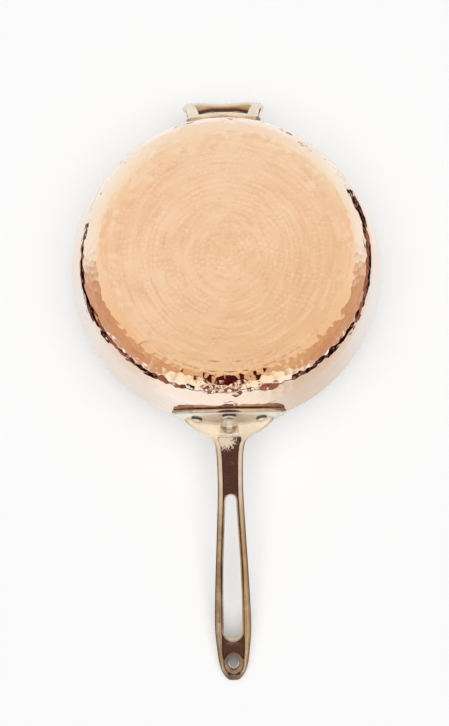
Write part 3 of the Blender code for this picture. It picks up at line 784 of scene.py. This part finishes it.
class Room:
    """The room that the metal reflects. Front is where the handle points, -Y, and side is -X.

    A dark edge runs round it, low in front and high behind. Over and under it, the room is bright.
    """

    def __init__(self, n, direction):
        self.n = n
        x, y, self.z = n.separate(direction)
        level = n.math("SQRT", n.math("ADD", n.math("MULTIPLY", x, x), n.math("MULTIPLY", y, y)))
        level = n.math("MAXIMUM", level, 0.001)
        self.front = n.math("DIVIDE", n.math("MULTIPLY", y, -1.0), level)
        self.side = n.math("DIVIDE", n.math("MULTIPLY", x, -1.0), level)
        self.facing = n.step(0.955, 0.975, self.front)
        self.clutter = n.noise(direction, 11, 3)
        self.blotch = n.noise(direction, 6, 3)
        self.drift = n.noise(direction, 2.6, 1)
        edge = n.math("MINIMUM", n.math("SUBTRACT", 0.72, n.math("MULTIPLY", self.front, 1.10)),
                      n.math("SUBTRACT", 0.55, n.math("MULTIPLY", self.side, 0.14)))
        half = n.math("SUBTRACT", 0.22, n.math("MULTIPLY", self.front, 0.10))
        over_edge = n.math("SUBTRACT", self.z, edge)
        self.over_top = n.math("SUBTRACT", over_edge, half)
        self.over_foot = n.math("ADD", over_edge, half)

    def colour(self):
        n = self.n
        above = n.math("MAXIMUM", n.step(-0.02, 0.02, self.over_top), n.step(0.78, 0.83, self.z))
        below = n.step(-0.02, 0.02, self.over_foot, 1.0, 0.0)
        low = self.with_maroon(self.with_gleams(self.with_brown(self.cream())))
        return n.mix(above, n.mix(below, self.dark_edge(), low), self.high())

    def cream(self):
        """Under the edge, wherever nothing else is."""
        n = self.n
        cream = n.mix(n.step(-0.86, -0.30, self.z), (1.00, 0.96, 0.88), (1.01, 1.20, 1.28))
        return n.mix(n.step(-0.96, -0.80, self.front, 0.5, 0.0), cream, (0.98, 0.98, 0.92))

    def with_brown(self, low):
        """Brown at the front and sides. It reaches lower towards the front."""
        n = self.n
        brown = n.mix(n.step(-0.85, -0.55, self.z), (0.82, 0.68, 0.54), (0.66, 0.46, 0.34))
        brown = n.mix(n.step(0.35, 0.65, self.blotch), brown, (0.74, 0.55, 0.42))
        foot = n.step(0.05, 0.75, self.front, -0.62, -0.97)
        here = n.math("MULTIPLY", n.step(-0.30, 0.04, self.front),
                      n.step(-0.06, 0.02, n.math("SUBTRACT", self.z, foot)))
        return n.mix(here, low, brown)

    def with_gleams(self, low):
        """White ahead, and white spots just under the edge."""
        n = self.n
        ahead = n.math("MULTIPLY", n.step(0.74, 0.90, self.front), n.step(-0.90, -0.80, self.z))
        spots = n.math("MULTIPLY", n.step(0.47, 0.53, self.clutter),
                       n.step(-0.16, -0.10, self.over_foot))
        spots = n.math("MULTIPLY", spots, n.step(0.1, 0.3, self.front))
        return n.mix(n.math("MAXIMUM", ahead, spots), low, (1.15, 1.40, 1.55))

    def with_maroon(self, low):
        """A maroon block straight ahead and low, scattered patches over it, and a pale floor."""
        n = self.n
        block = n.math("MULTIPLY", n.step(-0.998, -0.993, self.z),
                       n.step(-0.86, -0.82, self.z, 1.0, 0.0))
        patches = n.math("MULTIPLY", n.step(0.49, 0.53, self.clutter),
                         n.step(-0.50, -0.30, self.z, 1.0, 0.5))
        here = n.math("MULTIPLY", self.facing, n.math("MAXIMUM", patches, block))
        maroon = n.mix(n.step(-0.86, -0.74, self.z), (0.085, 0.010, 0.014), (0.27, 0.10, 0.10))
        low = n.mix(here, low, maroon)
        clear = n.math("SUBTRACT", 1.0, n.math("MULTIPLY", self.facing, block))
        floor_here = n.math("MULTIPLY", n.step(-0.995, -0.98, self.z, 1.0, 0.0), clear)
        floor = n.mix(n.step(-0.3, 0.4, self.front), (1.00, 0.98, 0.93), (0.97, 0.87, 0.68))
        return n.mix(floor_here, low, floor)

    def dark_edge(self):
        """Black to red-brown, broken straight ahead and torn towards the back."""
        n = self.n
        dark = n.mix(n.step(0.48, 0.60, self.drift), (0.014, 0.003, 0.002), (0.36, 0.17, 0.12))
        dark = n.mix(n.step(0.54, 0.64, self.clutter), dark, (0.30, 0.16, 0.12))
        reach = n.math("ADD", self.front, n.step(0.0, 1.0, self.side, 0.0, 0.24))
        torn = n.step(-0.62, -0.12, reach, 0.62, 0.28)
        torn = n.math("ADD", torn, n.step(0.90, 0.97, self.front, 0.0, 0.20))
        whole = n.step(-0.03, 0.03, n.math("SUBTRACT", self.clutter, torn))
        band = n.mix(whole, (1.04, 1.22, 1.32), dark)
        gaps = n.math("MULTIPLY", self.facing, n.step(0.44, 0.50, self.clutter, 1.0, 0.0))
        return n.mix(gaps, band, (1.15, 1.4, 1.5))

    def high(self):
        """Over the edge: brightest ahead, warmer behind, dimmer at one front corner."""
        n = self.n
        high = n.mix(n.step(0.70, 0.90, self.front), (0.90, 1.00, 1.06), (1.05, 1.22, 1.32))
        high = n.mix(n.step(0.80, 0.90, self.z), high, (0.88, 1.00, 1.06))
        high = n.mix(n.step(-0.1, -0.5, self.front), high, (0.94, 0.92, 0.88))
        dusk = n.math("MULTIPLY", n.step(0.1, 0.7, self.front), n.step(0.15, 0.6, self.side))
        return n.mix(dusk, high, (0.78, 0.81, 0.78))


def make_sun(name, direction, strength, softness):
    light = bpy.data.lights.new(name, "SUN")
    light.energy = strength
    light.angle = softness
    obj = bpy.data.objects.new(name, light)
    obj.rotation_mode = "QUATERNION"
    obj.rotation_quaternion = Vector(direction).to_track_quat("-Z", "Y")
    obj.visible_glossy = False
    bpy.context.scene.collection.objects.link(obj)


CAMERA_PLACE = Vector((0.0032, -0.1696, -0.9070))
CAMERA_TILT = math.radians(4.95)
CAMERA_ROLL = math.radians(1.1)
CAMERA_LENS = 53.9


def make_camera():
    data = bpy.data.cameras.new("camera")
    data.sensor_width = 36
    data.lens = CAMERA_LENS
    data.clip_start = 0.01
    camera = bpy.data.objects.new("camera", data)
    forward = Vector((0, math.sin(CAMERA_TILT), math.cos(CAMERA_TILT)))
    level_up = Vector((0, math.cos(CAMERA_TILT), -math.sin(CAMERA_TILT)))
    level_right = forward.cross(level_up)
    right = level_right * math.cos(CAMERA_ROLL) - level_up * math.sin(CAMERA_ROLL)
    up = level_right * math.sin(CAMERA_ROLL) + level_up * math.cos(CAMERA_ROLL)
    turn = Matrix((right, up, -forward)).transposed()
    camera.matrix_world = Matrix.Translation(CAMERA_PLACE) @ turn.to_4x4()
    bpy.context.scene.collection.objects.link(camera)
    bpy.context.scene.camera = camera


def main():
    bpy.context.scene.view_settings.view_transform = "Standard"
    make_camera()
    make_world()
    one_sided("backdrop", BACKDROP_HEIGHT, False, 0.95, shaded=True)
    one_sided("floor", FLOOR_HEIGHT, True, 0.93)
    make_sun("light_from_below", (0.0, 0.06, 1.0), 2.50, math.radians(76))
    make_sun("light_from_above", (0.25, 0.35, -1.0), 2.75, math.radians(20))

    rivet = brass_material("rivet_metal", *RIVET_METAL)
    make_copper_shell(copper_material())
    make_tin_lining(tin_material())
    make_long_handle(brass_material("cast_brass", *CAST_BRASS))
    make_helper_handle(brass_material("helper_brass", *HELPER_BRASS))
    for node in sorted(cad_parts):
        if "rivet" in node:
            make_rivet(node, rivet)


main()
